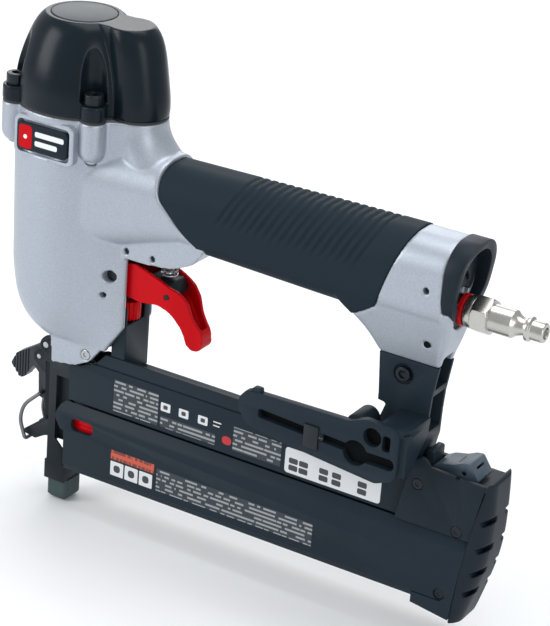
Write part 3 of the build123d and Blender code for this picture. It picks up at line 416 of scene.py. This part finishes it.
def ribbed_grip():
    """Rubber sleeve with slanting ribs over its upper half."""
    piece = remeshed("grip_sleeve", RUBBER, 0.45, 4)
    low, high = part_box("grip_sleeve")
    first = low.x + 39.5 * MM
    pitch = 3.95 * MM
    start, stop = -0.4, 17.4            # in ribs, counted from the first
    lean_most, lean_drop = 7.8 * MM, 17.8 * MM
    axis_z = 164 * MM
    fade_low, fade_high = 162.5 * MM, 168.0 * MM
    mesh = piece.data
    normals = [vertex.normal.copy() for vertex in mesh.vertices]
    for vertex, normal in zip(mesh.vertices, normals):
        point = vertex.co
        drop = max(0.0, high.z - point.z)
        lean = lean_most * (drop / lean_drop) ** 1.25
        phase = (point.x + lean - first) / pitch
        outward = Vector((0, point.y, point.z - axis_z)).normalized()
        if normal.dot(outward) < 0.3 or phase < start or phase > stop:
            continue
        ends = fade(phase, start, start + 0.5) * fade(stop - phase, 0.0, 0.5)
        below = fade(point.z, fade_low, fade_high)
        groove = (0.5 + 0.5 * math.cos(2 * math.pi * phase)) ** 1.6
        vertex.co = point - normal * (0.75 * MM * groove * ends * below)
    mesh.update()


def plate(name, corners, thickness, material, body, side_y):
    """Thin plate whose back lies at side_y and which stands out to the left; corners are (x, z) in mm."""
    shape = bmesh.new()
    outer = [shape.verts.new((x * MM, side_y * MM, z * MM)) for x, z in corners]
    face = shape.faces.new(outer)
    grown = bmesh.ops.extrude_face_region(shape, geom=[face])
    for item in grown["geom"]:
        if isinstance(item, bmesh.types.BMVert):
            item.co.y -= thickness * MM
    bmesh.ops.recalc_face_normals(shape, faces=shape.faces)
    piece = new_piece(name, shape, material)
    bevel = piece.modifiers.new("soften", "BEVEL")
    bevel.width = 0.03 * MM
    bevel.segments = 1
    bevel.limit_method = "ANGLE"
    apply_modifiers(piece, 30)
    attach(piece, body)
    return piece


def rounded(x0, x1, z0, z1, radius, steps=5):
    """Outline of a rectangle with rounded corners, in mm."""
    points = []
    for cx, cz, start in ((x1 - radius, z1 - radius, 0), (x0 + radius, z1 - radius, 90),
                          (x0 + radius, z0 + radius, 180), (x1 - radius, z0 + radius, 270)):
        for step in range(steps + 1):
            angle = math.radians(start + 90 * step / steps)
            points.append((cx + radius * math.cos(angle), cz + radius * math.sin(angle)))
    return points


def prism(name, loops, material):
    """Closed band whose section is given by equal loops of (x, y, z) points in mm, in order."""
    shape = bmesh.new()
    rings = [[shape.verts.new((x * MM, y * MM, z * MM)) for x, y, z in loop] for loop in loops]
    count = len(rings[0])
    for ring, follower in zip(rings, rings[1:] + rings[:1]):
        for index in range(count):
            after = (index + 1) % count
            shape.faces.new((ring[index], ring[after], follower[after], follower[index]))
    bmesh.ops.recalc_face_normals(shape, faces=shape.faces)
    piece = new_piece(name, shape, material)
    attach(piece, "tool")
    return piece


def badge_rim():
    """Raised border of the casting round the plaque."""
    root, shoulder, crest = -22.0, -27.2, -27.7
    outer = rounded(-15.4, 15.8, 175.0, 193.4, 3.2)
    lip = rounded(-14.9, 15.3, 175.5, 192.9, 2.8)
    inner = rounded(-13.6, 14.0, 176.7, 191.8, 2.2)
    levels = ((outer, root), (outer, shoulder), (lip, crest), (inner, crest), (inner, root))
    loops = [[(x, y, z) for x, z in ring] for ring, y in levels]
    prism("badge_rim", loops, CAST)


def side_reach(x, z):
    """How far the casing's left side stands out at (x, z), in mm, judged beside any small hole."""
    mesh = frame["nodes"]["housing_body"].data
    tree = BVHTree.FromPolygons([v.co for v in mesh.vertices], [p.vertices for p in mesh.polygons])
    reach = []
    for shift in (-2.4, 2.4):
        spot = tree.ray_cast(Vector(((x + shift) * MM, -0.05, z * MM)), Vector((0, 1, 0)))[0]
        reach.append(-spot.y / MM)
    return sum(reach) / len(reach)


def ring_points(radius, steps=20):
    """Points of a circle round the origin, in mm."""
    return [(radius * math.cos(math.tau * step / steps), radius * math.sin(math.tau * step / steps))
            for step in range(steps)]


def hook_painted_shade_sheets(dark):
    """Painted shade: near-black sheets behind the belt hook's key holes, on both sides of its clip."""
    behind, thickness = -24.3, 0.5
    rear = [(147.6, 85.4), (160, 82), (172, 81.2), (183.6, 83), (183, 101.4), (168.2, 101.4),
            (166.5, 92.6), (147.6, 92.6)]
    front = [(115.5, 87.4), (139.4, 86), (139.4, 93.5), (115.5, 94.6)]
    plate("hook_painted_shade_a", rear, thickness, dark, "tool", behind)
    plate("hook_painted_shade_b", front, thickness, dark, "tool", behind)


def arm_hole_painted_shade(dark):
    """Painted shade: a near-black disc set into the shallow lower pin hole in the casing's arm."""
    hole_x, hole_z, sunk = 184.0, 136.8, 0.28
    corners = [(hole_x + x, hole_z + z) for x, z in ring_points(1.5)]
    plate("arm_hole_painted_shade", corners, 0.4, dark, "tool",
          sunk - side_reach(hole_x, hole_z))


def lug_ends():
    """Closed lower ends of the casing's four bolt lugs."""
    profile = ((0.2, 179.4), (2.7, 179.4), (2.7, 177.4), (1.4, 176.6), (0.2, 176.4))
    for centre_x in (-BOLT_X, BOLT_X):
        for centre_y in (-BOLT_Y, BOLT_Y):
            loops = [[(centre_x + x, centre_y + y, z) for x, y in ring_points(radius)]
                     for radius, z in profile]
            prism("lug_end", loops, CAST)


def labels():
    """Printed marks on the magazine: rows of bars, plain signs, a chart and a caution block."""
    ground = (0.0165, 0.026, 0.035)
    pale_ink = (0.27, 0.285, 0.3)
    upper = striped("upper_label", ground, pale_ink, 480, 330, 0.52)
    rows = striped("row_label", ground, pale_ink, 500, 330, 0.52)
    white = finish("white_print", (0.62, 0.64, 0.66), 0.4, shade=0.03, bump=0.02)
    orange = striped("orange_print", (0.5, 0.075, 0.035), (0.16, 0.03, 0.02), 300, 900, 0.55)
    ink = finish("dark_print", (0.03, 0.035, 0.04), 0.4, shade=0.05, bump=0.02)
    red = finish("red_print", (0.45, 0.01, 0.02), 0.4, shade=0.05, bump=0.02)
    wall = -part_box("fixed_magazine")[1].y / MM
    slide = -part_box("sliding_magazine")[1].y / MM

    def flat(name, x0, x1, z0, z1, radius, material, lift=0.05, lower=False):
        plate(name, rounded(x0, x1, z0, z1, radius), lift, material, "magazine" if lower else "tool",
              slide if lower else wall)

    flat("label_rows_a", 31.6, 55.5, 57.8, 73.4, 0.4, upper)
    flat("label_rows_b", 57, 86, 58, 63.4, 0.4, upper)
    flat("label_rows_c", 95.2, 119.8, 58.6, 70.2, 0.4, upper)
    for index, x in enumerate((56.9, 66.5, 76.6)):
        flat("sign_%d" % index, x, x + 5.1, 65.9, 70.1, 0.6, white)
        flat("sign_mark_%d" % index, x + 1.4, x + 3.7, 67.0, 69.0, 0.5, ink, 0.08)
    flat("sign_red", 89.6, 94.4, 60.2, 64.2, 1.8, red)
    flat("sign_bar_a", 84.6, 88.8, 69.0, 69.6, 0.2, white)
    flat("sign_bar_b", 84.6, 88.0, 67.2, 67.8, 0.2, white)
    flat("chart", 122, 169.6, 57.2, 69.4, 1.5, white)
    for column, x in enumerate((124.0, 129.1, 139.2, 145.6, 158.3)):
        for row in range(2):
            flat("chart_mark_%d_%d" % (column, row), x, x + 4.5, 58.7 + 3.4 * row, 61.4 + 3.4 * row, 0.7,
                 ink, 0.08)
    flat("label_orange", 33.7, 57.2, 35.2, 39.9, 0.4, orange, lower=True)
    for index in range(3):
        x = 33.7 + 7.85 * index
        flat("caution_square_%d" % index, x, x + 7.1, 27.2, 34.3, 0.4, white, lower=True)
        flat("caution_mark_%d" % index, x + 1.8, x + 5.3, 29.0, 32.6, 1.4, ink, 0.08, lower=True)
    flat("label_rows_d", 58.6, 140, 27.4, 38.6, 0.4, rows, lower=True)


def badge():
    """Generic plaque: a red block and two plain bars."""
    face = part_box("badge_plate")[0].y / MM + 0.02
    white = finish("badge_print", (0.75, 0.77, 0.78), 0.35, shade=0.02, bump=0.02)
    plate("badge_block", rounded(-12.0, -5.2, 178.9, 189.5, 1.4), 0.12, RED, "tool", face)
    plate("badge_bar_a", rounded(-3.6, 11.6, 185.2, 187.6, 0.8), 0.1, white, "tool", face)
    plate("badge_bar_b", rounded(-3.6, 8.2, 181.0, 183.4, 0.8), 0.1, white, "tool", face)
    plate("badge_dot", rounded(-9.6, -7.6, 183.2, 185.2, 0.98), 0.2, white, "tool", face)


add_studio()
for node, look in LOOKS.items():
    if look[1] == "keep":
        kept(node, look[0])
    elif look[1] == "coil":
        coil(node, look[0])
    elif look[1] == "bevel":
        bevelled(node, look[0], look[2])
    else:
        remeshed(node, look[0], look[2], look[3])
ribbed_grip()
labels()
badge()
badge_rim()
# near-black finish for sheets of painted shade set behind the hook's key holes and in the arm's pin hole
painted_shade = finish("painted_shade_look", (0.003, 0.004, 0.005), 0.7, shade=0.2, bump=0.05, specular=0.05)
hook_painted_shade_sheets(painted_shade)
arm_hole_painted_shade(painted_shade)
lug_ends()
bpy.context.scene.view_settings.view_transform = "Standard"
